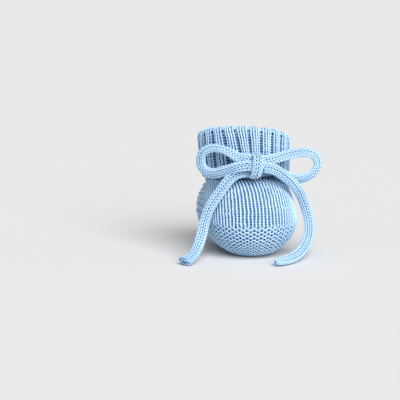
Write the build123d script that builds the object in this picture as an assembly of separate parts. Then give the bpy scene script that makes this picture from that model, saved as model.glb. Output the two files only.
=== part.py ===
from build123d import *
import math
import os

os.makedirs("parts", exist_ok=True)

# A knitted baby bootie, in millimetres.
# +X is the wearer's side to side, -Y points to the toe, +Z is up.
# The origin is on the floor under the middle of the foot.

# Foot: a rounded bag, widest at the ball, that rests on a narrow flat under it.
FOOT_LENGTH = 88.0
FOOT_WIDTH = 58.0
FABRIC = 2.6                 # thickness of one knitted layer
TOE_Y = -FOOT_LENGTH / 2
HEEL_Y = FOOT_LENGTH / 2
BALL_Y = -14.0               # where the foot is widest
BALL_Z = 23.0                # height of the widest line at the toe
HEEL_Z = 29.0                # height of the widest line at the heel
REST_HALF_WIDTH = 9.8        # half of the flat that rests on the floor
REST_BACK_Y = 18.0           # where that flat ends under the heel
HEEL_SQUARE = 3.0            # how square the outline is behind its widest line
SOLE_LEVELS = (0.0, 1.0, 2.5, 5.0, 8.5, 12.5, 17.0)
UPPER_LEVELS = (0.0, 0.2, 0.4, 0.55, 0.7, 0.82, 0.91, 0.97, 1.0)

# Ankle: the foot's upper edge, a leaning oval.
ANKLE_HALF_WIDTH = 25.5
ANKLE_FRONT_Y = -21.0
ANKLE_BACK_Y = 28.0
ANKLE_Z = 46.3               # height of the edge over the origin
ANKLE_LEAN = -0.155          # its change of height for each mm of depth
WAIST_Z = 52.2               # the groove that the tie runs in
WAIST_HALF_WIDTH = 22.3
WAIST_FRONT_Y = -17.0
WAIST_BACK_Y = 24.5
BAND_TOP_Z = 58.0

# Cuff: the ribbed leg, folded out and down over itself.
RIM_Z = 75.2
RIM_LEAN = -0.30
RIM_ROLL = -0.12             # its change of height for each mm of width
RIM_HALF_WIDTH = 29.9
RIM_FRONT_Y = -25.0
RIM_BACK_Y = 31.0
HEM_Z = 49.6
HEM_LEAN = -0.21
HEM_HALF_WIDTH = 29.5
HEM_FRONT_Y = -25.5
HEM_BACK_Y = 32.2
LAYER_GAP = 0.3              # air between the two layers of the cuff

# Instep: the plain-knit panel over the toes, inside the garter-stitch band.
PANEL_Z = 22.5               # its lower edge, across the toe
PANEL_SIDE_Y = -24.0         # where its lower edge ends at each side
PANEL_TOP_Y = -5.0           # where its side edges meet the ankle

# Seams sewn inside, up the middle of the sole and of the heel.
SEAM_WIDTH = 3.0
SEAM_HEIGHT = 1.3
SOLE_SEAM_LENGTH = 50.0
HEEL_SEAM_Z = 23.0           # middle of the heel seam
HEEL_SEAM_RISE = 30.0
HEEL_SEAM_FROM_Y = 20.0

# Tie: one knitted cord, 6 mm wide and 3.5 mm thick, drawn as a round one of about that section.
TIE = 4.6
KNOT_X, KNOT_Y, KNOT_Z = -3.2, -31.0, 58.8
KNOT_WIDTH, KNOT_DEPTH, KNOT_HEIGHT = 10.0, 9.6, 14.4
KNOT_EDGE = 1.5
ANKLE_TIE = 3.6              # it lies flatter under the cuff
ANKLE_TIE_OUT = 3.2          # each end of the ankle run, from the knot's middle
ANKLE_TIE_IN = 5.4           # how far each end runs in from the knot
ANKLE_TIE_FRONT = 3.75       # the run's middle line, outside the waist at the front
ANKLE_TIE_BACK = 2.4         # and at its sides and back
ANKLE_TIE_TURN = 27.0        # degrees from the front to the run's first point
ANKLE_TIE_STEPS = 11

LOOP_STATIONS = 24           # points round each outline
OVERRUN = 6.0                # how far a cutting shape runs past what it cuts

KNOT_LEFT = KNOT_X - KNOT_WIDTH / 2
KNOT_RIGHT = KNOT_X + KNOT_WIDTH / 2

# Routes of the tie's free parts, from the knot outwards.
LEFT_LOOP = [
    (KNOT_LEFT, -29.6, 63.3),
    (-12.7, -29.6, 63.3),
    (-19.5, -26.5, 68.6),
    (-27.5, -20.0, 70.2),
    (-33.6, -15.0, 66.2),
    (-33.6, -14.5, 57.0),
    (-28.0, -18.5, 52.6),
    (-20.0, -27.3, 56.3),
    (-13.2, -33.2, 59.6),
    (KNOT_LEFT, -33.2, 59.6),
]
RIGHT_LOOP = [
    (KNOT_RIGHT, -29.8, 62.0),
    (7.0, -29.8, 62.0),
    (16.5, -27.5, 64.0),
    (27.0, -26.0, 66.0),
    (36.6, -24.5, 65.2),
    (42.0, -23.5, 58.0),
    (37.2, -23.5, 50.2),
    (28.0, -23.0, 47.8),
    (18.5, -23.6, 51.0),
    (8.5, -28.0, 57.0),
    (KNOT_RIGHT, -28.0, 57.0),
]
LEFT_TAIL = [
    (KNOT_LEFT, -28.4, 55.0),
    (-13.0, -28.4, 55.0),
    (-19.0, -27.0, 50.5),
    (-24.6, -26.4, 42.5),
    (-30.4, -24.4, 33.5),
    (-33.4, -23.4, 24.5),
    (-36.0, -26.0, 16.0),
    (-40.2, -31.0, 8.5),
    (-45.5, -35.5, 3.4),
    (-51.0, -38.5, 2.6),
]
RIGHT_TAIL = [
    (KNOT_RIGHT, -33.6, 58.2),
    (6.8, -33.6, 58.2),
    (16.0, -32.3, 52.0),
    (24.0, -28.6, 45.0),
    (30.4, -24.0, 36.5),
    (34.4, -22.5, 27.0),
    (35.0, -27.0, 17.5),
    (30.2, -35.5, 10.5),
    (22.4, -44.5, 5.5),
    (12.8, -52.0, 3.0),
    (2.5, -56.5, 2.6),
]


def blend(low, high, share):
    return low + (high - low) * share


def oval(half_width, front_y, back_y, widest_y, z, lean=0.0, square=2.0, roll=0.0):
    """A closed outline in a tilted plane: an ellipse in front, a squarer curve behind."""
    points = []
    for k in range(LOOP_STATIONS):
        turn = 2 * math.pi * k / LOOP_STATIONS
        side, ahead = math.sin(turn), math.cos(turn)
        if ahead >= 0:
            x = half_width * side
            y = widest_y - (widest_y - front_y) * ahead
        else:
            x = half_width * math.copysign(abs(side) ** (2 / square), side)
            y = widest_y + (back_y - widest_y) * abs(ahead) ** (2 / square)
        points.append((x, y, z + lean * y + roll * x))
    return Face(Wire([Edge.make_spline(points, periodic=True)]))


def sole_outline(z, inset):
    """The foot's level outline at height z, below its widest line, moved in by inset."""
    drop = BALL_Z / math.sqrt(1 - (REST_HALF_WIDTH / (FOOT_WIDTH / 2)) ** 2)
    ball = math.sqrt(1 - ((BALL_Z - z) / drop) ** 2)
    half_width = FOOT_WIDTH / 2 * ball
    front_y = BALL_Y - (BALL_Y - TOE_Y) * ball
    back_y = heel_back(z) - inset
    return oval(half_width - inset, front_y + inset, back_y, BALL_Y, z, 0.0, HEEL_SQUARE)


def heel_back(z):
    """Where the heel's outline reaches at height z."""
    if z < HEEL_Z:
        round_off = math.sqrt(1 - ((HEEL_Z - z) / (HEEL_Z + 1.5)) ** 2)
        return blend(REST_BACK_Y, HEEL_Y, round_off)
    return blend(HEEL_Y, ANKLE_BACK_Y, ((z - HEEL_Z) / (ANKLE_Z - HEEL_Z)) ** 1.6)


def upper_outline(rise, inset):
    """The foot's leaning outline from its widest line, at rise 0, to the ankle, at rise 1."""
    half_width = blend(FOOT_WIDTH / 2, ANKLE_HALF_WIDTH, rise ** 2)
    front_y = ANKLE_FRONT_Y + (TOE_Y - ANKLE_FRONT_Y) * math.sqrt(1 - rise ** 2)
    front_z = blend(BALL_Z, ANKLE_Z + ANKLE_LEAN * ANKLE_FRONT_Y, rise)
    lean = ANKLE_LEAN * rise ** 2
    z = front_z - lean * front_y
    return oval(
        half_width - inset,
        front_y + inset,
        heel_back(z) - inset,
        blend(BALL_Y, 3.0, rise),
        z - inset * rise ** 3,
        lean,
        blend(HEEL_SQUARE, 2.0, rise),
    )


def foot_bag(inset, open_top=False):
    """The foot's closed bag shape, all its outlines moved in by inset."""
    outlines = [sole_outline(z + inset, inset) for z in SOLE_LEVELS]
    outlines += [upper_outline(rise, inset) for rise in UPPER_LEVELS]
    if open_top:
        outlines.append(Pos(0.0, 0.0, OVERRUN) * outlines[-1])
    return loft(outlines, ruled=True)


def ring_wall(outer, inner):
    """A tube of fabric between two stacks of outlines, the inner one run out at both ends."""
    below = Pos(0.0, 0.0, -OVERRUN) * inner[0]
    above = Pos(0.0, 0.0, OVERRUN) * inner[-1]
    return loft(outer, ruled=True) - loft([below, *inner, above], ruled=True)


def leg_oval(half_width, front_y, back_y, z, lean, inset, roll=0.0):
    middle = (front_y + back_y) / 2
    return oval(half_width - inset, front_y + inset, back_y - inset, middle, z, lean, 2.0, roll)


def ankle_stack(inset):
    return [
        leg_oval(ANKLE_HALF_WIDTH, ANKLE_FRONT_Y, ANKLE_BACK_Y, ANKLE_Z, ANKLE_LEAN, inset),
        leg_oval(WAIST_HALF_WIDTH, WAIST_FRONT_Y, WAIST_BACK_Y, WAIST_Z, 0.0, inset),
        leg_oval(*BAND_TOP, BAND_TOP_Z, RIM_LEAN / 4, inset),
    ]


def lining_stack(inset):
    return [
        leg_oval(*BAND_TOP, BAND_TOP_Z, RIM_LEAN / 4, inset),
        leg_oval(*LINING_TOP, RIM_Z - FABRIC, RIM_LEAN, inset, RIM_ROLL),
    ]


def cuff_stack(inset, top_drop):
    return [
        leg_oval(HEM_HALF_WIDTH, HEM_FRONT_Y, HEM_BACK_Y, HEM_Z, HEM_LEAN, inset),
        leg_oval(
            RIM_HALF_WIDTH, RIM_FRONT_Y, RIM_BACK_Y, RIM_Z - top_drop, RIM_LEAN, inset, RIM_ROLL
        ),
    ]


def route_radii(route):
    """The largest arc that fits each corner, using 0.45 of its shorter run."""
    radii = []
    for before, corner, after in zip(route, route[1:], route[2:]):
        a = Vector(*corner) - Vector(*before)
        b = Vector(*after) - Vector(*corner)
        half_turn = math.radians(a.get_angle(b)) / 2
        radii.append(0.45 * min(a.length, b.length) / math.tan(half_turn))
    return radii


def cord(name, route, diameter):
    """A round cord along straight runs joined by tangent arcs."""
    radii = route_radii(route)
    path = FilletPolyline(*route, radius=radii)
    start = Plane(origin=path @ 0, z_dir=path % 0)
    solid = sweep(start * Circle(diameter / 2), path=path)
    expected = math.pi * diameter ** 2 / 4 * path.length
    print(name, "length", round(path.length, 1), "radii", [round(r, 1) for r in radii])
    print("  volume", round(solid.volume, 1), "section times length", round(expected, 1))
    return solid


def ankle_route():
    """Out of the knot, once round the waist of the ankle, and back to the knot."""
    front_y, back_y = WAIST_FRONT_Y - ANKLE_TIE_FRONT, WAIST_BACK_Y + ANKLE_TIE_BACK
    half_width = WAIST_HALF_WIDTH + ANKLE_TIE_BACK
    middle_y, half_depth = (front_y + back_y) / 2, (back_y - front_y) / 2
    first = math.radians(ANKLE_TIE_TURN)
    step = (2 * math.pi - 2 * first) / ANKLE_TIE_STEPS
    swell = 1 / math.cos(step / 2)
    back_of_knot = KNOT_Y + KNOT_DEPTH / 2
    turn_in = back_of_knot + ANKLE_TIE_IN
    points = [(KNOT_X - ANKLE_TIE_OUT, back_of_knot), (KNOT_X - ANKLE_TIE_OUT, turn_in)]
    for k in range(ANKLE_TIE_STEPS + 1):
        turn = first + k * step
        x = -half_width * swell * math.sin(turn)
        y = middle_y - half_depth * swell * math.cos(turn)
        points.append((x, y))
    points += [(KNOT_X + ANKLE_TIE_OUT, turn_in), (KNOT_X + ANKLE_TIE_OUT, back_of_knot)]
    return [(x, y, WAIST_Z) for x, y in points]


def slab(x_size, y_size, z_size, x, y, z):
    return Pos(x, y, z) * Box(x_size, y_size, z_size)


def save(name, solid):
    export_step(solid, f"parts/{name}.step")


# Outlines of the leg that several pieces share: half width, front and back.
BAND_TOP = (25.0, -20.4, 27.0)
LINING_TOP = (
    RIM_HALF_WIDTH - FABRIC - LAYER_GAP,
    RIM_FRONT_Y + FABRIC + LAYER_GAP,
    RIM_BACK_Y - FABRIC - LAYER_GAP,
)

# The foot's wall, parted into the instep panel and the garter-stitch band.
foot_outer = foot_bag(0.0)
foot_inner = foot_bag(FABRIC, open_top=True)
foot_wall = foot_outer - foot_inner
panel_outline = Polyline(
    (-60.0, PANEL_Z),
    (PANEL_SIDE_Y, PANEL_Z),
    (PANEL_TOP_Y, 56.0),
    (-60.0, 56.0),
    close=True,
)
panel_block = extrude(Plane.YZ * make_face(panel_outline), amount=40.0, both=True)
instep_panel = foot_wall & panel_block
foot_band = foot_wall - panel_block

# The two seams stand up from the inside of the band.
sole_seam = slab(SEAM_WIDTH, SOLE_SEAM_LENGTH, SEAM_HEIGHT, 0.0, 1.0, FABRIC + SEAM_HEIGHT / 2)
heel_depth = 2 * (HEEL_Y - HEEL_SEAM_FROM_Y)
heel_slab = slab(SEAM_WIDTH, heel_depth, HEEL_SEAM_RISE, 0.0, HEEL_Y, HEEL_SEAM_Z)
heel_slice = foot_inner & heel_slab
back_seam = heel_slice - Pos(0.0, -SEAM_HEIGHT, 0.0) * foot_inner

# The leg: the ankle band with its groove, the inner layer and the turned-down layer.
ankle_band = ring_wall(ankle_stack(0.0), ankle_stack(FABRIC))
cuff_lining = ring_wall(lining_stack(0.0), lining_stack(FABRIC))
cuff_outer = loft(cuff_stack(0.0, 0.0), ruled=True)
cuff_inner = cuff_stack(FABRIC, FABRIC)
cuff_inner.insert(0, Pos(0.0, 0.0, -OVERRUN) * cuff_inner[0])
leg_opening = loft(
    [
        leg_oval(*LINING_TOP, RIM_Z - 2 * FABRIC, RIM_LEAN, FABRIC, RIM_ROLL),
        leg_oval(*LINING_TOP, RIM_Z + FABRIC, RIM_LEAN, FABRIC, RIM_ROLL),
    ],
    ruled=True,
)
cuff_turn_down = cuff_outer - loft(cuff_inner, ruled=True) - leg_opening

# The tie: one cord, parted where it passes through its bow knot.
knot_block = slab(KNOT_WIDTH, KNOT_DEPTH, KNOT_HEIGHT, KNOT_X, KNOT_Y, KNOT_Z)
bow_knot = fillet(knot_block.edges().filter_by(Axis.X), KNOT_EDGE)

pieces = {
    "foot_band": foot_band,
    "instep_panel": instep_panel,
    "sole_seam": sole_seam,
    "back_seam": back_seam,
    "ankle_band": ankle_band,
    "cuff_lining": cuff_lining,
    "cuff_turn_down": cuff_turn_down,
    "tie_ankle_run": cord("tie_ankle_run", ankle_route(), ANKLE_TIE),
    "bow_knot": bow_knot,
    "bow_loop_left": cord("bow_loop_left", LEFT_LOOP, TIE),
    "bow_loop_right": cord("bow_loop_right", RIGHT_LOOP, TIE),
    "tie_tail_left": cord("tie_tail_left", LEFT_TAIL, TIE),
    "tie_tail_right": cord("tie_tail_right", RIGHT_TAIL, TIE),
}
for name, solid in pieces.items():
    save(name, solid)
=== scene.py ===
import math

import bpy
import numpy as np
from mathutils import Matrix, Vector


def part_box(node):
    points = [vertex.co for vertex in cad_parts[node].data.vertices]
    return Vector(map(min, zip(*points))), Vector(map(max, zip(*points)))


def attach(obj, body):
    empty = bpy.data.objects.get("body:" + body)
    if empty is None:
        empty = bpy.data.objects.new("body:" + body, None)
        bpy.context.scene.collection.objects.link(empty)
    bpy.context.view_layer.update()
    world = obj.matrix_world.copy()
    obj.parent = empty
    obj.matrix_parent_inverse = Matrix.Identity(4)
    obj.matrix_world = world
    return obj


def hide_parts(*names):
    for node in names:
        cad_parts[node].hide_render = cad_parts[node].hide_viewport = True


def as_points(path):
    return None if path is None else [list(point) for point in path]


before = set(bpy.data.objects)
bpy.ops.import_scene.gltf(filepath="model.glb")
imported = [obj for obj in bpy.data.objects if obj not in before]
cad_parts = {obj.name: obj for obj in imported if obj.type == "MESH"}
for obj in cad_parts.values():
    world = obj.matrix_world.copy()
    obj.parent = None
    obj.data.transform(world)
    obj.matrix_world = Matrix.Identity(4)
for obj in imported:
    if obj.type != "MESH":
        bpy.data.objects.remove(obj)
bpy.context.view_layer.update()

# A knitted baby bootie, in metres: +X across the foot, -Y to the toe, +Z up.
# Every section is knitted stitch by stitch: its yarn is a tube that follows the loops.

# Foot, as in the CAD: a rounded bag, widest at the ball, on a narrow flat.
foot_low, foot_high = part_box("foot_band")
TOE_Y, HEEL_Y = foot_low[1], foot_high[1]
HALF_WIDTH = 0.0290
BALL_Y, BALL_Z = -0.0140, 0.0230
HEEL_Z = 0.0290
REST_HALF_WIDTH = 0.0098
REST_BACK_Y = 0.0180         # where the flat ends under the heel
ANKLE_WIDEST_Y = 0.0030
SEAM_HALF_WIDTH = 0.0004     # the sole closes to this at its seam
SQUARE = 3.0                 # how square the outline is behind its widest line
SIDE_BELOW = 0.0310          # along the side, from the widest line down to the floor
SIDE_ABOVE = 0.0280          # and up to the ankle
KEEL_FRONT_Y, KEEL_BACK_Y = -0.0150, 0.0220

# Ankle and leg: half width, front, back, height, lean and roll of the ovals between pieces.
ANKLE = (0.0255, -0.0210, 0.0280, 0.0463, -0.155, 0.0)
WAIST = (0.0223, -0.0170, 0.0245, 0.0522, 0.0, 0.0)
BAND_TOP = (0.0250, -0.0204, 0.0270, 0.0580, -0.075, 0.0)
RIM = (0.0299, -0.0250, 0.0310, 0.0752, -0.30, -0.12)
RIM_MIDDLE = (*RIM[:3], RIM[3] - 0.0018, *RIM[4:])
HEM = (0.0295, -0.0255, 0.0322, 0.0496, -0.21, 0.0)
TUCK = 0.0032                # how far the hem is drawn in on the left, and where round the leg
TUCK_TURN, TUCK_SPREAD = -1.85, 0.75
GATHER = 0.20                # how far round the ribs are drawn towards the knot at the hem
GATHER_TURN, GATHER_SPREAD = -0.55, 0.45
LAYER = 0.0029               # from the middle of one layer of the cuff to the other's
FABRIC_MIDDLE = 0.0013       # the yarn's middle line lies this far inside the CAD surface

# Gauge of the knitting.
YARN = 0.00056               # radius of the yarn in the fabric
RECESS_DEPTH = 0.003         # a drawn-in stitch this deep takes the whole of the painted shade below
RECESS_SHADE = 0.6
SWAY = 0.035                 # uneven knitting: how far a stitch usually strays sideways, in stitches
BOB = 0.05                   # and up or down, in rows
GARTER_ROW = 0.0014
GARTER_DEPTH = 0.00065       # how far garter loops stand out
GARTER_RIDGE = 0.00030       # how far each ridge of them rises
ROLL_HEIGHT = 0.0008         # how far the rolls at the heel rise
ROLL_ROWS = 3.6              # rows in one roll
BELOW_ROWS = 29              # from the sole's seam up to the widest line
ABOVE_ROWS = 20              # and from there to the ankle
SOLE_ROWS = 12               # rows that face the floor
PLAIN_ROWS = 24              # rows of the instep panel
ROUND_WALES = 50             # stitches round the foot
PANEL_WALES = 18             # and across its instep panel
FINE = 16                    # turns worked out for one stitch
RIBS = 22
RIB_START = 0.44             # where the first rib begins, as a share of a rib
RIB_EDGES = (0.0, 0.40, 0.80, 1.0)   # two knit stitches and one drawn-in purl stitch
CUFF_ROWS = 15
FOLD_ROWS = 3                # rows over the rim
CORD_YARN = 0.00046
CORD_HALF_WIDTH = 0.0028     # to the yarn's middle line
CORD_HALF_THICKNESS = 0.00125
CORD_COLUMNS = 6
CORD_ROW = 0.0021
CORD_STEP = 0.0005           # between the points of a cord's middle line
CORD_LOOP = 0.65             # half height of a cord's loop, in its rows
CORD_RELIEF = 0.00030        # how far the loop stands out
CORE_SINK = 0.00035          # the core, painted in the shade colour, lies this far inside the yarn's middle line
CORE_STEP = 0.0015
CORE_SIDES = 14
PLUG_RINGS = 5               # a pale plug closes each tapered end
CORE_END = 0.0004            # the core stops this far from each end
FLARE_LENGTH = 0.008         # a flared end widens over this much of the cord

# The tie's routes, from the knot outwards.
LEFT_LOOP = [
    (-0.0082, -0.0296, 0.0633),
    (-0.0127, -0.0296, 0.0633),
    (-0.0195, -0.0265, 0.0686),
    (-0.0275, -0.0200, 0.0702),
    (-0.0336, -0.0150, 0.0662),
    (-0.0336, -0.0145, 0.0570),
    (-0.0280, -0.0185, 0.0526),
    (-0.0200, -0.0273, 0.0563),
    (-0.0132, -0.0332, 0.0596),
    (-0.0082, -0.0332, 0.0596),
]
RIGHT_LOOP = [
    (0.0018, -0.0298, 0.0620),
    (0.0070, -0.0298, 0.0620),
    (0.0165, -0.0275, 0.0640),
    (0.0270, -0.0260, 0.0660),
    (0.0366, -0.0245, 0.0652),
    (0.0420, -0.0235, 0.0580),
    (0.0372, -0.0235, 0.0502),
    (0.0280, -0.0230, 0.0478),
    (0.0185, -0.0236, 0.0510),
    (0.0085, -0.0280, 0.0570),
    (0.0018, -0.0280, 0.0570),
]
LEFT_TAIL = [
    (-0.0082, -0.0284, 0.0550),
    (-0.0130, -0.0284, 0.0550),
    (-0.0190, -0.0270, 0.0505),
    (-0.0246, -0.0264, 0.0425),
    (-0.0304, -0.0244, 0.0335),
    (-0.0334, -0.0234, 0.0245),
    (-0.0360, -0.0260, 0.0160),
    (-0.0402, -0.0310, 0.0085),
    (-0.0455, -0.0355, 0.0034),
    (-0.0510, -0.0385, 0.0026),
]
RIGHT_TAIL = [
    (0.0018, -0.0336, 0.0582),
    (0.0068, -0.0336, 0.0582),
    (0.0160, -0.0323, 0.0520),
    (0.0240, -0.0286, 0.0450),
    (0.0304, -0.0240, 0.0365),
    (0.0344, -0.0225, 0.0270),
    (0.0350, -0.0270, 0.0175),
    (0.0302, -0.0355, 0.0105),
    (0.0224, -0.0445, 0.0055),
    (0.0128, -0.0520, 0.0030),
    (0.0025, -0.0565, 0.0026),
]
KNOT_WRAP = [
    (-0.0015, -0.0272, 0.0630),
    (-0.0018, -0.0305, 0.0658),
    (-0.0022, -0.0352, 0.0650),
    (-0.0032, -0.0372, 0.0595),
    (-0.0038, -0.0358, 0.0540),
    (-0.0038, -0.0315, 0.0520),
    (-0.0036, -0.0275, 0.0532),
]

ANKLE_TIE_FRONT = 0.00375    # the ankle run's middle line, outside the waist at the front
ANKLE_TIE_BACK = 0.0024      # and at its sides and back
ANKLE_TIE_STEPS = 11

STEPS = 12   # yarn points in one stitch
SIDES = 6    # sides of the yarn
random = np.random.default_rng(7)


# ---------------------------------------------------------------- materials

def node(tree, kind, **values):
    made = tree.nodes.new(kind)
    for name, value in values.items():
        setattr(made, name, value)
    return made


def math_node(tree, operation, a, b=None):
    made = node(tree, "ShaderNodeMath", operation=operation)
    for socket, value in zip(made.inputs, (a, b)):
        if value is None:
            continue
        if isinstance(value, (int, float)):
            socket.default_value = value
        else:
            tree.links.new(value, socket)
    return made.outputs[0]


def cotton(name, light, deep, plies=2.0, ply_length=0.0026):
    """Plied cotton yarn: twisted plies, specks, slow dye drift, and painted shade on the yarn's inner side
    and where it sinks in.
    """
    material = bpy.data.materials.new(name)
    material.use_nodes = True
    tree = material.node_tree
    shader = tree.nodes["Principled BSDF"]
    place = node(tree, "ShaderNodeTexCoord").outputs["Object"]
    uv = node(tree, "ShaderNodeUVMap", uv_map="yarn").outputs["UV"]
    split = node(tree, "ShaderNodeSeparateXYZ")
    tree.links.new(uv, split.inputs[0])
    along = math_node(tree, "MULTIPLY", split.outputs["X"], 0.001 * 2 * math.pi / ply_length)
    around = math_node(tree, "MULTIPLY", split.outputs["Y"], plies * 2 * math.pi)
    twist = math_node(tree, "SINE", math_node(tree, "ADD", along, around))
    fibre = node(tree, "ShaderNodeTexNoise")
    fibre.inputs["Scale"].default_value = 2600.0
    fibre.inputs["Detail"].default_value = 3.0
    drift = node(tree, "ShaderNodeTexNoise")
    drift.inputs["Scale"].default_value = 90.0
    drift.inputs["Detail"].default_value = 2.0
    for texture in (fibre, drift):
        tree.links.new(place, texture.inputs["Vector"])
    speck = math_node(tree, "MULTIPLY", fibre.outputs["Fac"], 0.55)
    slow = math_node(tree, "MULTIPLY", drift.outputs["Fac"], 0.45)
    ply = math_node(tree, "MULTIPLY", twist, 0.10)
    shade = math_node(tree, "ADD", math_node(tree, "ADD", speck, slow), ply)
    ramp = node(tree, "ShaderNodeValToRGB")
    ramp.color_ramp.elements[0].position = 0.30
    ramp.color_ramp.elements[0].color = (*deep, 1.0)
    ramp.color_ramp.elements[1].position = 0.72
    ramp.color_ramp.elements[1].color = (*light, 1.0)
    tree.links.new(shade, ramp.inputs["Fac"])
    # Painted shade: the yarn's side turned into the fabric, and yarn that lies sunk back, is multiplied
    # towards a deep blue.
    painted_shade = math_node(tree, "COSINE", math_node(tree, "MULTIPLY", split.outputs["Y"], 2 * math.pi))
    painted_shade = math_node(tree, "SUBTRACT", 0.52, painted_shade)
    sunk = node(tree, "ShaderNodeAttribute", attribute_name="sunk").outputs["Fac"]
    painted_shade = math_node(tree, "ADD", painted_shade, math_node(tree, "MULTIPLY", sunk, 0.95))
    shade_tint = node(tree, "ShaderNodeMix", data_type="RGBA", blend_type="MULTIPLY", clamp_factor=True)
    tree.links.new(painted_shade, shade_tint.inputs["Factor"])
    tree.links.new(ramp.outputs["Color"], shade_tint.inputs[6])
    # the painted shade colour
    shade_tint.inputs[7].default_value = (0.06, 0.18, 0.43, 1.0)
    tree.links.new(shade_tint.outputs[2], shader.inputs["Base Color"])
    height = math_node(tree, "ADD", math_node(tree, "MULTIPLY", twist, 0.5), fibre.outputs["Fac"])
    bump = node(tree, "ShaderNodeBump")
    bump.inputs["Strength"].default_value = 0.55
    bump.inputs["Distance"].default_value = 0.00016
    tree.links.new(height, bump.inputs["Height"])
    tree.links.new(bump.outputs["Normal"], shader.inputs["Normal"])
    shader.inputs["Roughness"].default_value = 0.82
    shader.inputs["Specular IOR Level"].default_value = 0.25
    shader.inputs["Sheen Weight"].default_value = 0.30
    shader.inputs["Sheen Roughness"].default_value = 0.45
    shader.inputs["Sheen Tint"].default_value = (0.85, 0.92, 1.0, 1.0)
    return material


fabric_yarn = cotton("cotton_yarn", (0.57, 0.78, 0.92), (0.37, 0.59, 0.84))
cord_yarn = cotton("cotton_cord_yarn", (0.55, 0.76, 0.92), (0.36, 0.58, 0.84), ply_length=0.0020)
# Painted shade: a dark navy cotton for the sheets and cord cores that stand for the shade between and
# inside the loops.
painted_shade_cotton = cotton("cotton_painted_shade", (0.05, 0.17, 0.42), (0.03, 0.11, 0.33))


# ---------------------------------------------------------------- surfaces

def blend(low, high, share):
    return low + (high - low) * share


def outline(turn, half_width, front, back, widest, square):
    """A point of an oval: an ellipse in front of its widest line, a squarer curve behind."""
    side, ahead = np.sin(turn), np.cos(turn)
    power = np.where(ahead < 0, 2 / square, 1.0)
    x = half_width * np.sign(side) * np.abs(side) ** power
    reach = np.where(ahead < 0, back - widest, front - widest)
    return x, widest + reach * np.abs(ahead) ** power


def heel_back(z):
    """How far back the heel reaches at a height."""
    lower = blend(REST_BACK_Y, HEEL_Y, np.sqrt(np.clip(1 - ((HEEL_Z - z) / (HEEL_Z + 0.0015)) ** 2, 0, 1)))
    upper = blend(HEEL_Y, ANKLE[2], np.clip((z - HEEL_Z) / (ANKLE[3] - HEEL_Z), 0, 1.2) ** 1.6)
    return np.where(z < HEEL_Z, lower, upper)


def foot(turn, level):
    """The foot's surface. Level 0 is its widest line, 1 the ankle, -1 the floor, and below that
    the outline closes on the sole's seam."""
    drop = BALL_Z / math.sqrt(1 - (REST_HALF_WIDTH / HALF_WIDTH) ** 2)
    floor_angle = math.asin(BALL_Z / drop)
    closing = np.clip((-1 - level) * SIDE_BELOW / REST_HALF_WIDTH, 0, 1)
    angle = np.clip(-level, 0, 1) * floor_angle
    low_z = np.clip(BALL_Z - drop * np.sin(angle), 0, None)
    low_half = blend(HALF_WIDTH * np.cos(angle), SEAM_HALF_WIDTH, closing)
    low_front = blend(BALL_Y - (BALL_Y - TOE_Y) * np.cos(angle), KEEL_FRONT_Y, closing)
    low_back = blend(heel_back(low_z), KEEL_BACK_Y, closing)
    rise = np.clip(level, 0, 1)
    top_front = ANKLE[1] + (TOE_Y - ANKLE[1]) * np.sqrt(1 - rise ** 2)
    lean = ANKLE[4] * rise ** 2
    top_z = blend(BALL_Z, ANKLE[3] + ANKLE[4] * ANKLE[1], rise) - lean * top_front
    above = level > 0
    half = np.where(above, blend(HALF_WIDTH, ANKLE[0], rise ** 2), low_half)
    front = np.where(above, top_front, low_front)
    back = np.where(above, heel_back(top_z), low_back)
    widest = np.where(above, blend(BALL_Y, ANKLE_WIDEST_Y, rise), blend(BALL_Y, 0.0, closing))
    square = np.where(above, blend(SQUARE, 2.0, rise), SQUARE)
    x, y = outline(turn, half, front, back, widest, square)
    z = np.where(above, top_z + lean * y, low_z)
    return np.stack([x, y, z], axis=-1)


def leg(rings):
    """A surface through a stack of ovals, each with its inset last."""
    table = np.array(rings)
    steps = np.linspace(0, 1, len(rings))

    def surface(turn, level):
        half, front, back, z, lean, roll, inset = (np.interp(level, steps, column) for column in table.T)
        half, front, back = half - inset, front + inset, back - inset
        x, y = outline(turn, half, front, back, (front + back) / 2, 2.0)
        return np.stack([x, y, z + lean * y + roll * x], axis=-1)

    return surface


def along_surface(surface, turn, level, out):
    """Points at a height above a surface, and the surface's normals there."""
    small = 0.004
    here = surface(turn, level)
    across = surface(turn + small, level) - surface(turn - small, level)
    up = surface(turn, level + small) - surface(turn, level - small)
    normal = np.cross(across, up)
    normal /= np.linalg.norm(normal, axis=-1, keepdims=True) + 1e-12
    return here + normal * np.asarray(out)[..., None], normal


# ---------------------------------------------------------------- yarn

def loops(count, steps, lean):
    """One row of stitches: how far along it in stitches, how high (-1 to 1), and how far back."""
    phase = np.linspace(-math.pi, (2 * count - 1) * math.pi, count * steps + 1)
    across = (phase + lean * np.sin(2 * phase)) / (2 * math.pi) + 0.5
    return across, np.cos(phase), np.cos(2 * phase)


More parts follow.
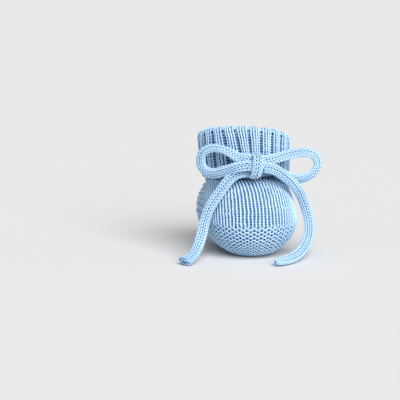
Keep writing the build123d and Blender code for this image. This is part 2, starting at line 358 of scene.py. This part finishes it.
def tubes(lines, normals, radius, sides, sunk=0.0):
    """Round tubes along lines (line, point, xyz): vertices, quads, caps, UVs and how deep it lies, which
    sets its painted shade.
    """
    tangent = np.gradient(lines, axis=1)
    tangent /= np.linalg.norm(tangent, axis=-1, keepdims=True) + 1e-12
    wing = np.cross(tangent, normals)
    wing /= np.linalg.norm(wing, axis=-1, keepdims=True) + 1e-12
    rise = np.cross(wing, tangent)
    angle = np.arange(sides) * 2 * math.pi / sides
    ring = rise[:, :, None] * np.cos(angle)[:, None] + wing[:, :, None] * np.sin(angle)[:, None]
    points = lines[:, :, None] + np.asarray(radius)[..., None, None] * ring
    count, length = lines.shape[:2]
    index = np.arange(count * length * sides).reshape(count, length, sides)
    a, b = index[:, :-1], index[:, 1:]
    quads = np.stack([a, np.roll(a, -1, 2), np.roll(b, -1, 2), b], axis=-1).reshape(-1, 4)
    caps = np.concatenate([index[:, 0, ::-1], index[:, -1]])
    travel = np.linalg.norm(np.diff(lines, axis=1), axis=-1).cumsum(axis=1)
    travel = np.concatenate([np.zeros((count, 1)), travel], axis=1) * 1000
    share = np.arange(sides + 1) / sides
    u = np.broadcast_to(travel[:, :, None], (count, length, sides))
    u0, u1 = u[:, :-1], u[:, 1:]
    v0 = np.broadcast_to(share[:-1], u0.shape)
    v1 = np.broadcast_to(share[1:], u0.shape)
    uv = np.stack([u0, v0, u0, v1, u1, v1, u1, v0], axis=-1).reshape(-1, 2)
    deep = np.broadcast_to(np.asarray(sunk)[..., None], (count, length, sides)).ravel()
    return points.reshape(-1, 3), quads, caps, uv, deep


def sheet(surface, turns, levels, out):
    """A plain dark part on a surface, for the shade between the loops."""
    turn, level = np.meshgrid(turns, levels)
    points, _ = along_surface(surface, turn, level, np.full(turn.shape, out))
    index = np.arange(turn.size).reshape(turn.shape)
    a, b = index[:-1], index[1:]
    quads = np.stack([a[:, :-1], a[:, 1:], b[:, 1:], b[:, :-1]], axis=-1).reshape(-1, 4)
    return points.reshape(-1, 3), quads, None, None, None, 1


def build(name, parts, materials, replaces):
    """Joins parts (vertices, quads, caps, uv, depth for the painted shade, material number) into one
    object.
    """
    vertices, corners, sizes, uvs, numbers, shade_depths = [], [], [], [], [], []
    start = 0
    for points, quads, caps, uv, deep, number in parts:
        vertices.append(points)
        shade_depths.append(deep if deep is not None else np.zeros(len(points)))
        corners.append((quads + start).ravel())
        sizes.append(np.full(len(quads), 4))
        uvs.append(uv if uv is not None else np.tile([0.0, 0.25], (quads.size, 1)))
        numbers.append(np.full(len(quads), number))
        if caps is not None:
            corners.append((caps + start).ravel())
            sizes.append(np.full(len(caps), caps.shape[1]))
            uvs.append(np.zeros((caps.size, 2)))
            numbers.append(np.full(len(caps), number))
        start += len(points)
    vertices = np.concatenate(vertices)
    vertices[:, 2] = np.maximum(vertices[:, 2], 0.0)
    corners, sizes = np.concatenate(corners), np.concatenate(sizes)
    mesh = bpy.data.meshes.new(name)
    mesh.vertices.add(len(vertices))
    mesh.vertices.foreach_set("co", vertices.ravel())
    mesh.loops.add(len(corners))
    mesh.loops.foreach_set("vertex_index", corners.astype(np.int32))
    mesh.polygons.add(len(sizes))
    starts = np.concatenate([[0], np.cumsum(sizes)[:-1]])
    mesh.polygons.foreach_set("loop_start", starts.astype(np.int32))
    mesh.polygons.foreach_set("material_index", np.concatenate(numbers).astype(np.int32))
    mesh.polygons.foreach_set("use_smooth", np.ones(len(sizes), dtype=bool))
    layer = mesh.uv_layers.new(name="yarn")
    layer.data.foreach_set("uv", np.concatenate(uvs).ravel())
    # how deep each point lies, which the yarn material turns into painted shade
    deep = mesh.attributes.new("sunk", "FLOAT", "POINT")
    deep.data.foreach_set("value", np.concatenate(shade_depths))
    mesh.update(calc_edges=True)
    for material in materials:
        mesh.materials.append(material)
    piece = bpy.data.objects.new(name, mesh)
    bpy.context.scene.collection.objects.link(piece)
    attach(piece, "root")
    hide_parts(*replaces)
    return piece


def jitter(rows, wales, size):
    """A small random shift for every stitch, the same each run."""
    return random.normal(0.0, size, (rows, wales + 1))


def knit(surface, rows, wales, place, height, depth, front, relief=None, lean=0.75, steps=STEPS,
         sides=SIDES, radius=YARN, out=-FABRIC_MIDDLE, first_row=0, seen_from=1):
    """Yarn tubes for rows of stitches on a surface.

    place(across, row) gives the turn and level there. height is a loop's half height in rows,
    depth how far it stands out, front(across, row) 1 where the loops face out and -1 where in.
    seen_from is 1 for a face seen from outside and -1 for one seen from within.
    """
    across, up, back = loops(wales, steps, lean)
    row = np.arange(first_row, first_row + rows)[:, None]
    across = np.broadcast_to(across, (rows, across.size))
    stitch = np.clip(across, 0, wales)
    wobble = jitter(rows, wales, SWAY)
    sway = np.stack([np.interp(stitch[k], np.arange(wales + 1), wobble[k]) for k in range(rows)])
    wobble = jitter(rows, wales, BOB)
    bob = np.stack([np.interp(stitch[k], np.arange(wales + 1), wobble[k]) for k in range(rows)])
    at_row = row + height * up + bob
    share = 0.5 + 0.5 * up
    share = share * share * (3 - 2 * share)
    facing = (1 - share) * front(across, row) + share * front(across, row + 1)
    stand = -depth * back * facing
    # Painted shade: higher where the yarn lies back behind its loop, and higher still in drawn-in recesses.
    sunk = 0.5 + 0.5 * back * facing * seen_from
    if relief is not None:
        rise = relief(across, at_row)
        stand = stand + rise
        sunk = sunk + RECESS_SHADE * np.clip(-rise * seen_from / RECESS_DEPTH, 0, 1)
    turn, level = place(across + sway, at_row)
    points, normals = along_surface(surface, turn, level, out + stand)
    return tubes(points, normals * seen_from, radius, sides, sunk)


def ones(across, row):
    """The front of plain knitting: every loop faces out."""
    return np.ones(np.broadcast_shapes(across.shape, np.shape(row)))


# ---------------------------------------------------------------- foot

def equal_turns(surface, level, low, high, count):
    """Turns that part an outline into count stitches of one width, FINE of them to a stitch."""
    turns = np.linspace(low, high, 2001)
    points = surface(turns, np.full(turns.shape, level))
    travel = np.linalg.norm(np.diff(points, axis=0), axis=-1).cumsum()
    travel = np.concatenate([[0.0], travel]) / travel[-1]
    return np.interp(np.linspace(0, 1, count * FINE + 1), travel, turns)


def stitch_turns(table):
    """The turn at any place along a row, carried on past both ends of the table."""
    def turn_at(across):
        count = (len(table) - 1) / FINE
        inside = np.interp(across, np.linspace(0, count, len(table)), table)
        first, last = (table[FINE] - table[0]), (table[-1] - table[-1 - FINE])
        before = np.minimum(across, 0) * first
        after = np.maximum(across - count, 0) * last
        return inside + before + after
    return turn_at


def garter_level(distance):
    """The foot's level at a distance up its side from the widest line."""
    return np.where(distance < 0, distance / SIDE_BELOW, distance / SIDE_ABOVE)


def garter_front(across, row):
    return ones(across, row) * np.where(np.asarray(row) % 2 == 0, 1.0, -1.0)


def garter_relief(across, row):
    return GARTER_RIDGE * np.cos(math.pi * (row - 0.5))


def heel_relief(across, row):
    """The garter ridges of the sides and heel gather into rounder rolls towards the back."""
    roll = np.sin(np.clip(across / BEHIND_WALES, 0, 1) * math.pi)
    return garter_relief(across, row) + ROLL_HEIGHT * roll * np.cos(2 * math.pi * row / ROLL_ROWS)


def garter_place(turn_at):
    def place(across, row):
        return turn_at(across), garter_level(row * GARTER_ROW)
    return place


WHOLE_TURNS = equal_turns(foot, 0.0, -math.pi, math.pi, ROUND_WALES)
PANEL_FROM = ROUND_WALES // 2 - PANEL_WALES // 2
PANEL_TO = PANEL_FROM + PANEL_WALES
PANEL_TURNS = WHOLE_TURNS[PANEL_FROM * FINE:PANEL_TO * FINE + 1]
BEHIND_TURNS = np.concatenate([WHOLE_TURNS[PANEL_TO * FINE:-1],
                               WHOLE_TURNS[:PANEL_FROM * FINE + 1] + 2 * math.pi])
BEHIND_WALES = ROUND_WALES - PANEL_WALES
FULL_TURN = np.linspace(-math.pi, math.pi, 121)
SHADE_SHEET = -0.0019            # the sheet of painted shade behind the foot's loops
WALL_SHADE_SHEET = -0.0021       # the same for the cuff's wall
FOLD_SHADE_SHEET = -0.0009       # and for the fold over its rim


def make_foot_band():
    whole = garter_place(stitch_turns(WHOLE_TURNS))
    behind = garter_place(stitch_turns(BEHIND_TURNS))
    lower = knit(foot, BELOW_ROWS - SOLE_ROWS, ROUND_WALES, whole, 1.0, GARTER_DEPTH, garter_front,
                 garter_relief, first_row=SOLE_ROWS - BELOW_ROWS)
    shade_sheet = sheet(foot, FULL_TURN, np.linspace(-0.75, 0.04, 31), SHADE_SHEET)
    build("garter_band", [(*lower, 0), shade_sheet], [fabric_yarn, painted_shade_cotton],
          replaces=["foot_band"])
    upper = knit(foot, ABOVE_ROWS, BEHIND_WALES, behind, 1.0, GARTER_DEPTH, garter_front, heel_relief)
    shade_sheet = sheet(foot, BEHIND_TURNS[::8], np.linspace(0.0, 1.0, 21), SHADE_SHEET)
    build("garter_sides", [(*upper, 0), shade_sheet], [fabric_yarn, painted_shade_cotton],
          replaces=["foot_band"])
    under = knit(foot, SOLE_ROWS, ROUND_WALES, whole, 1.0, GARTER_DEPTH, garter_front, garter_relief,
                 first_row=-BELOW_ROWS, steps=8, sides=5)
    shade_sheet = sheet(foot, FULL_TURN, np.linspace(-1.31, -0.72, 21), SHADE_SHEET)
    build("garter_sole", [(*under, 0), shade_sheet], [fabric_yarn, painted_shade_cotton],
          replaces=["foot_band"])
    within = knit(foot, BELOW_ROWS + ABOVE_ROWS, ROUND_WALES, whole, 1.0, 0.0004, garter_front,
                  first_row=-BELOW_ROWS, steps=6, sides=4, radius=0.0005, out=-0.0027, seen_from=-1)
    build("garter_inside", [(*within, 0)], [fabric_yarn], replaces=["foot_band"])


def make_instep():
    turns = stitch_turns(PANEL_TURNS)

    def place(across, row):
        rise = np.sin(np.clip(row / PLAIN_ROWS, -0.05, 0.997) * math.pi / 2)
        return turns(across), rise

    yarn = knit(foot, PLAIN_ROWS, PANEL_WALES, place, 1.05, 0.00080, ones, steps=STEPS + 4,
                sides=SIDES + 2)
    shade_sheet = sheet(foot, PANEL_TURNS[::8], np.linspace(0.0, 1.0, 31), SHADE_SHEET)
    build("plain_instep", [(*yarn, 0), shade_sheet], [fabric_yarn, painted_shade_cotton],
          replaces=["instep_panel"])


# ---------------------------------------------------------------- leg

def rib_turn(across):
    rib = np.floor(across / 3)
    inside = np.interp(across - 3 * rib, np.arange(4), RIB_EDGES)
    return (rib + inside + RIB_START) / RIBS * 2 * math.pi - math.pi


def rib_front(across, row):
    inside = np.mod(across, 3)
    edge = np.minimum(np.minimum(inside, 3 - inside), np.abs(inside - 2))
    return ones(across, row) * np.tanh(np.where(inside < 2, edge, -edge) * 6)


def rib_relief(sunk, crown, rim_row=None):
    """Rounded ribs with sunk recesses between them, which grow shallower from rim_row up."""
    def relief(across, row):
        inside = np.mod(across, 3)
        sink = sunk if rim_row is None else sunk * (1 - 0.6 * np.clip((row - rim_row) / 4, 0, 1))
        edge = -0.45 * sink
        off = np.abs(inside - 1) ** 2.6
        groove = edge + (edge + sink) * (np.abs(inside - 2.5) * 4 * np.abs(inside - 2.5) - 1)
        return np.where(inside < 2, crown + (edge - crown) * off, groove)
    return relief


CUFF_TURNS = np.linspace(-math.pi, math.pi, 241)


def cuff_rings():
    """Rings of the cuff's outer wall from hem to rim, and of the fold over the rim."""
    outer = [(*HEM, FABRIC_MIDDLE), (*RIM_MIDDLE, FABRIC_MIDDLE)]
    fold = []
    for k in range(1, 6):
        angle = math.pi * k / 6
        inset = FABRIC_MIDDLE + LAYER / 2 * (1 - math.cos(angle))
        height = RIM_MIDDLE[3] + LAYER / 2 * math.sin(angle)
        fold.append((*RIM[:3], height, *RIM[4:], inset))
    return outer, fold


def make_cuff():
    outer, fold = cuff_rings()
    plain_wall = leg(outer)

    def wall(turn, level):
        """The plain wall with its hem tucked in on the left, where the bow's loop holds it."""
        tuck = TUCK * np.clip(1 - level, 0, 1) ** 1.5 * np.exp(-((turn - TUCK_TURN) / TUCK_SPREAD) ** 2)
        points = plain_wall(turn, level)
        points[..., 0] += tuck
        return points

    def wall_place(across, row):
        turn = rib_turn(across)
        level = (row + 0.6) / (CUFF_ROWS + 0.2)
        gather = (1 - level) * GATHER * np.exp(-((turn - GATHER_TURN) / GATHER_SPREAD) ** 2)
        return turn + gather, np.clip(level, -0.08, 1.0)

    relief = rib_relief(0.0031, 0.0005, 11)
    yarn = knit(wall, CUFF_ROWS, 3 * RIBS, wall_place, 1.05, 0.0006, rib_front, relief, out=0.0)
    # a sheet of painted shade behind the ribs
    back = sheet(wall, CUFF_TURNS, np.linspace(0, 1, 12), WALL_SHADE_SHEET)
    over = leg([outer[1], *fold, (*RIM_MIDDLE, FABRIC_MIDDLE + LAYER)])

    def over_place(across, row):
        return rib_turn(across), np.clip((row + 0.5) / FOLD_ROWS, 0.0, 1.0)

    top = knit(over, FOLD_ROWS, 3 * RIBS, over_place, 0.8, 0.0005, rib_front, rib_relief(0.0008, 0.0003),
               out=0.0)
    top_shade_sheet = sheet(over, CUFF_TURNS, np.linspace(0, 1, 12), FOLD_SHADE_SHEET)
    build("ribbed_cuff", [(*yarn, 0), (*top, 0), back, top_shade_sheet],
          [fabric_yarn, painted_shade_cotton], replaces=["cuff_turn_down"])


def make_lining():
    inset = FABRIC_MIDDLE + LAYER
    inner = leg([(*BAND_TOP, FABRIC_MIDDLE), (*RIM_MIDDLE, inset)])
    rows = 9

    def place(across, row):
        return rib_turn(across), np.clip((row + 0.5) / rows, 0.0, 1.0)

    def inside_out(across, row):
        return -rib_front(across, row)

    def relief(across, row):
        return -rib_relief(0.0011, 0.0004)(across + 1.0, row)

    yarn = knit(inner, rows, 3 * RIBS, place, 1.05, 0.0006, inside_out, relief, out=0.0,
                steps=10, sides=5, seen_from=-1)
    # a sheet of painted shade behind the lining's ribs
    back = sheet(inner, CUFF_TURNS, np.linspace(0, 1, 10), 0.0009)
    build("rib_lining", [(*yarn, 0), back], [fabric_yarn, painted_shade_cotton],
          replaces=["cuff_lining"])


def make_ankle():
    band = leg([(*ANKLE, FABRIC_MIDDLE), (*WAIST, FABRIC_MIDDLE), (*BAND_TOP, FABRIC_MIDDLE)])
    rows, wales = 7, 40
    turns = stitch_turns(np.linspace(-math.pi, math.pi, wales * FINE + 1))

    def place(across, row):
        return turns(across), np.clip((row + 0.4) / rows, 0.0, 1.0)

    yarn = knit(band, rows, wales, place, 1.05, 0.0006, ones, out=0.0, steps=10, sides=5)
    low = (*ANKLE[:3], ANKLE[3] - 0.0045, *ANKLE[4:], FABRIC_MIDDLE)
    skirt = leg([low, (*ANKLE, FABRIC_MIDDLE), (*WAIST, FABRIC_MIDDLE), (*BAND_TOP, FABRIC_MIDDLE)])
    # a sheet of painted shade behind the ankle's loops
    back = sheet(skirt, FULL_TURN, np.linspace(0, 1, 13), -0.0007)
    within = knit(band, rows, wales, place, 1.05, 0.0004, ones, out=-0.0014, steps=8, sides=4,
                  seen_from=-1)
    build("ankle_knit", [(*yarn, 0), (*within, 0), back],
          [fabric_yarn, painted_shade_cotton], replaces=["ankle_band"])


# ---------------------------------------------------------------- tie

def smooth_line(name, route):
    """Points of the smooth NURBS line that has the route as its control points."""
    curve = bpy.data.curves.new(name, "CURVE")
    curve.dimensions = "3D"
    spline = curve.splines.new("NURBS")
    spline.points.add(len(route) - 1)
    for point, place in zip(spline.points, route):
        point.co = (*place, 1.0)
    spline.use_endpoint_u = True
    spline.order_u = 3
    spline.resolution_u = 16
    holder = bpy.data.objects.new(name, curve)
    bpy.context.scene.collection.objects.link(holder)
    bpy.context.view_layer.update()
    line = bpy.data.meshes.new_from_object(holder.evaluated_get(bpy.context.evaluated_depsgraph_get()))
    points = np.array([vertex.co[:] for vertex in line.vertices])
    bpy.data.objects.remove(holder)
    bpy.data.meshes.remove(line)
    bpy.data.curves.remove(curve)
    return points


def cord_frame(points, faces):
    """Evenly spaced points on a line, with the flat side's facing and width directions."""
    travel = np.concatenate([[0.0], np.linalg.norm(np.diff(points, axis=0), axis=-1).cumsum()])
    length = travel[-1]
    at = np.linspace(0, length, max(int(length / CORD_STEP), 20))
    line = np.stack([np.interp(at, travel, points[:, k]) for k in range(3)], axis=-1)
    marks = np.linspace(0, length, len(faces))
    facing = np.stack([np.interp(at, marks, np.array(faces, dtype=float)[:, k]) for k in range(3)], -1)
    tangent = np.gradient(line, axis=0)
    tangent /= np.linalg.norm(tangent, axis=-1, keepdims=True)
    facing -= tangent * np.sum(facing * tangent, axis=-1, keepdims=True)
    facing /= np.linalg.norm(facing, axis=-1, keepdims=True)
    width = np.cross(tangent, facing)
    return length, at, line, facing, width


def knit_cord(points, faces, end_taper=0.0, flare=1.0):
    """A flat knitted cord: one yarn that spirals in stitches, round a core painted in the shade colour for
    the shade inside it.
    """
    length, at, line, facing, width = cord_frame(points, faces)
    steps = 10
    stitches = int(length / CORD_ROW * CORD_COLUMNS)
    across, up, back = loops(stitches, steps, -0.05)
    along = np.clip((across / CORD_COLUMNS + CORD_LOOP * up) * CORD_ROW, 0.0, length)
    turn = across / CORD_COLUMNS * 2 * math.pi
    stand = -CORD_RELIEF * back

    def taper(distance):
        if not end_taper:
            return np.ones_like(distance)
        left = length - distance
        narrowing = np.sqrt(np.clip(left / end_taper, 0.05, 1))
        return narrowing * blend(flare, 1.0, np.clip(left / FLARE_LENGTH, 0, 1))

    def at_distance(values, distance):
        return np.stack([np.interp(distance, at, values[:, k]) for k in range(3)], axis=-1)

    def section(distance, turn, stand):
        middle = at_distance(line, distance)
        face, side = at_distance(facing, distance), at_distance(width, distance)
        size = taper(distance)
        half, thick = CORD_HALF_WIDTH * size, CORD_HALF_THICKNESS * size
        wide, deep = np.cos(turn), np.sin(turn)
        normal = side * (wide / half)[..., None] + face * (deep / thick)[..., None]
        normal /= np.linalg.norm(normal, axis=-1, keepdims=True)
        place = middle + side * (half * wide)[..., None] + face * (thick * deep)[..., None]
        return place + normal * stand[..., None], normal

    place, normal = section(along, turn, stand)
    # painted shade: darker where the cord's yarn lies back between stitches
    yarn = tubes(place[None], normal[None], CORD_YARN, SIDES, 0.45 + 0.75 * back[None])
    rings = max(int(length / CORE_STEP), 4)
    end = length - (0.0030 if end_taper else CORE_END)
    angles = np.arange(CORE_SIDES) * 2 * math.pi / CORE_SIDES
    distance, angle = np.meshgrid(np.linspace(CORE_END, end, rings), angles, indexing="ij")
    # the core is painted shade, seen between the stitches
    core, _ = section(distance, angle, np.full(distance.shape, -CORE_SINK))
    index = np.arange(rings * CORE_SIDES).reshape(rings, CORE_SIDES)
    a, b = index[:-1], index[1:]
    quads = np.stack([a, np.roll(a, -1, 1), np.roll(b, -1, 1), b], axis=-1).reshape(-1, 4)
    caps = np.stack([index[0, ::-1], index[-1]])
    parts = [(*yarn, 0), (core.reshape(-1, 3), quads, caps, None, None, 1)]
    if end_taper:
        plug_at = np.linspace(end - 0.0010, length - CORE_END, PLUG_RINGS)
        distance, angle = np.meshgrid(plug_at, angles, indexing="ij")
        plug, _ = section(distance, angle, np.full(distance.shape, -0.00005))
        caps = np.stack([index[0, ::-1], index[PLUG_RINGS - 1]])
        side = quads[:(PLUG_RINGS - 1) * CORE_SIDES]
        parts.append((plug.reshape(-1, 3), side, caps, None, None, 0))
    return parts, length, points


# The way the flat side faces, at even distances along each route.
OUT = (0.0, -1.0, 0.15)
LEFT_LOOP_FACES = [OUT, (0.0, -0.8, 0.7), (0, -0.45, 1.0), (-0.6, -0.4, 1.0), (-1, -0.6, 0.3),
                   (-1, -0.9, -0.3), (-0.5, -1.0, -0.35), (-0.3, -1.0, -0.1), (-0.1, -1.0, 0.0), OUT]
RIGHT_LOOP_FACES = [OUT, (0.0, -0.8, 0.6), (0, -0.8, 0.7), (0.1, -0.8, 0.7), (0.4, -0.8, 0.5),
                    (0.5, -0.9, 0.0), (0.3, -0.8, -0.5), (0, -0.9, -0.5), (0, -1.0, -0.3), OUT, OUT]
LEFT_TAIL_FACES = [OUT, OUT, (-0.3, -1, 0.6), (-0.4, -1, 0.4), (-0.6, -1, 0.3), (-0.6, -1, 0.2),
                   (-0.4, -1, 0.4), (-0.4, -0.8, 0.8), (-0.2, -0.3, 1.0), (-0.1, -0.2, 1.0)]
RIGHT_TAIL_FACES = [OUT, OUT, (0.0, -1, 0.4), (-0.1, -1, 0.1), (-0.2, -1, -0.1), (-0.3, -1, -0.2),
                    (-0.4, -1, -0.2), (-0.4, -1, 0.0), (-0.2, -1, 0.3), (0, -0.6, 0.8), (0, -0.1, 1)]


def make_free_cord(name, node_name, route, faces, end_taper=0.0, flare=1.0):
    parts, length, points = knit_cord(smooth_line(name + "_route", route), faces,
                                      end_taper=end_taper, flare=flare)
    piece = build(name, parts, [cord_yarn, painted_shade_cotton], replaces=[node_name])
    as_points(points)
    return piece


def make_knot():
    wrap_faces = [(0, 0.6, 1), (0, -0.2, 1), (0, -0.9, 0.6), (0, -1, 0), (0, -0.9, -0.6), (0, -0.1, -1),
                  (0, 0.6, -1)]
    parts, _, _ = knit_cord(smooth_line("knot_wrap_route", KNOT_WRAP), wrap_faces)
    through = [
        [(-0.0085, -0.0296, 0.0633), (-0.0032, -0.0302, 0.0630), (0.0021, -0.0298, 0.0620)],
        [(-0.0085, -0.0332, 0.0596), (-0.0032, -0.0338, 0.0592), (0.0021, -0.0336, 0.0582)],
        [(-0.0085, -0.0284, 0.0550), (-0.0032, -0.0290, 0.0560), (0.0021, -0.0280, 0.0570)],
    ]
    for route in through:
        inner, _, _ = knit_cord(smooth_line("knot_strand_route", route), [OUT, OUT, OUT])
        parts += inner
    return build("tied_knot", parts, [cord_yarn, painted_shade_cotton], replaces=["bow_knot"])


def ankle_route():
    """Out of the knot's back, once round the waist of the ankle, and back."""
    front, back = WAIST[1] - ANKLE_TIE_FRONT, WAIST[2] + ANKLE_TIE_BACK
    half = WAIST[0] + ANKLE_TIE_BACK
    route = [(-0.0064, -0.0262, WAIST[3]), (-0.0064, -0.0208, WAIST[3])]
    for k in range(ANKLE_TIE_STEPS + 1):
        turn = math.radians(27 + 306 / ANKLE_TIE_STEPS * k)
        x = -half * 1.03 * math.sin(turn)
        y = (front + back) / 2 - (back - front) / 2 * 1.03 * math.cos(turn)
        route.append((x, y, WAIST[3]))
    return route + [(0.0, -0.0208, WAIST[3]), (0.0, -0.0262, WAIST[3])]


def make_ankle_tie():
    route = ankle_route()
    faces = [(point[0], point[1] - 0.003, 0.0) for point in route]
    faces[0] = faces[1] = faces[-1] = faces[-2] = (0.0, 0.3, 1.0)
    parts, _, _ = knit_cord(smooth_line("ankle_tie_route", route), faces)
    build("ankle_tie", parts, [cord_yarn, painted_shade_cotton], replaces=["tie_ankle_run"])


def make_tie():
    knot = make_knot()
    make_free_cord("bow_left", "bow_loop_left", LEFT_LOOP, LEFT_LOOP_FACES)
    make_free_cord("bow_right", "bow_loop_right", RIGHT_LOOP, RIGHT_LOOP_FACES)
    make_free_cord("tail_left", "tie_tail_left", LEFT_TAIL, LEFT_TAIL_FACES,
                   end_taper=0.0008, flare=1.7)
    make_free_cord("tail_right", "tie_tail_right", RIGHT_TAIL, RIGHT_TAIL_FACES,
                   end_taper=0.002)
    make_ankle_tie()


# ---------------------------------------------------------------- seams

def whipped_seam(name, node_name, line, normal, across=0.0012, pitch=0.0022):
    """Overcast yarn that crosses the seam line again and again."""
    points = np.array(line)
    travel = np.concatenate([[0.0], np.linalg.norm(np.diff(points, axis=0), axis=-1).cumsum()])
    turns = travel[-1] / pitch
    at = np.linspace(0, travel[-1], int(turns * 12))
    middle = np.stack([np.interp(at, travel, points[:, k]) for k in range(3)], axis=-1)
    normals = np.stack([np.interp(at, travel, np.array(normal)[:, k]) for k in range(3)], axis=-1)
    phase = at / pitch * 2 * math.pi
    middle[:, 0] += across * np.sin(phase)
    middle += normals * (0.0007 + 0.0004 * np.cos(phase))[:, None]
    yarn = tubes(middle[None], normals[None], 0.0004, SIDES)
    build(name, [(*yarn, 0)], [fabric_yarn], replaces=[node_name])


def make_seams():
    low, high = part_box("sole_seam")
    line = [(0.0, low[1], low[2] + 0.0006), (0.0, high[1], low[2] + 0.0006)]
    whipped_seam("sole_seam_yarn", "sole_seam", line, [(0, 0, 1), (0, 0, 1)])
    low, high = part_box("back_seam")
    heights = np.linspace(low[2], high[2], 9)
    line = [(0.0, float(heel_back(np.array(z))) - 0.0035, float(z)) for z in heights]
    whipped_seam("back_seam_yarn", "back_seam", line, [(0, -1, 0)] * len(line))


make_foot_band()
make_instep()
make_ankle()
make_lining()
make_cuff()
make_tie()
make_seams()


# ---------------------------------------------------------------- stage

def plain(name, color, roughness):
    material = bpy.data.materials.new(name)
    material.use_nodes = True
    shader = material.node_tree.nodes["Principled BSDF"]
    shader.inputs["Base Color"].default_value = (*color, 1.0)
    shader.inputs["Roughness"].default_value = roughness
    shader.inputs["Specular IOR Level"].default_value = 0.1
    return material


def make_floor():
    size = 14.0
    mesh = bpy.data.meshes.new("studio_floor")
    mesh.from_pydata([(-size, -size, 0), (size, -size, 0), (size, size, 0), (-size, size, 0)], [],
                     [(0, 1, 2, 3)])
    floor = bpy.data.objects.new("studio_floor", mesh)
    mesh.materials.append(plain("studio_paper", (0.76, 0.76, 0.76), 0.95))
    bpy.context.scene.collection.objects.link(floor)


def sun(name, place, spread, strength):
    data = bpy.data.lights.new(name, "SUN")
    data.angle = math.radians(spread)
    data.energy = strength
    light = bpy.data.objects.new(name, data)
    light.location = place
    light.rotation_euler = (-Vector(place)).to_track_quat("-Z", "Y").to_euler()
    bpy.context.scene.collection.objects.link(light)


def make_lights():
    sun("key_light", (0.12, -1.00, 0.76), 52.0, 4.0)
    world = bpy.data.worlds.new("studio")
    world.use_nodes = True
    background = world.node_tree.nodes["Background"]
    background.inputs["Color"].default_value = (1.0, 1.0, 1.0, 1.0)
    background.inputs["Strength"].default_value = 0.32
    bpy.context.scene.world = world


def make_camera():
    """A long lens a metre away, low and left of the toe, aimed to set the bootie where the photo has it."""
    azimuth, height = math.radians(17.0), math.radians(9.0)
    pan, tilt = math.radians(1.68), math.radians(0.43)
    target, distance = Vector((0.0, 0.0, 0.040)), 1.0
    ray = Vector((math.sin(azimuth) * math.cos(height), math.cos(azimuth) * math.cos(height),
                  -math.sin(height)))
    data = bpy.data.cameras.new("camera")
    data.sensor_width = 36.0
    data.lens = 140.4
    data.clip_start = 0.05
    camera = bpy.data.objects.new("camera", data)
    camera.location = target - ray * distance
    aim_azimuth, aim_height = azimuth - pan, height + tilt
    aim = Vector((math.sin(aim_azimuth) * math.cos(aim_height),
                  math.cos(aim_azimuth) * math.cos(aim_height), -math.sin(aim_height)))
    camera.rotation_euler = aim.to_track_quat("-Z", "Y").to_euler()
    bpy.context.scene.collection.objects.link(camera)
    bpy.context.scene.camera = camera


make_floor()
make_lights()
make_camera()
bpy.context.scene.view_settings.view_transform = "Standard"
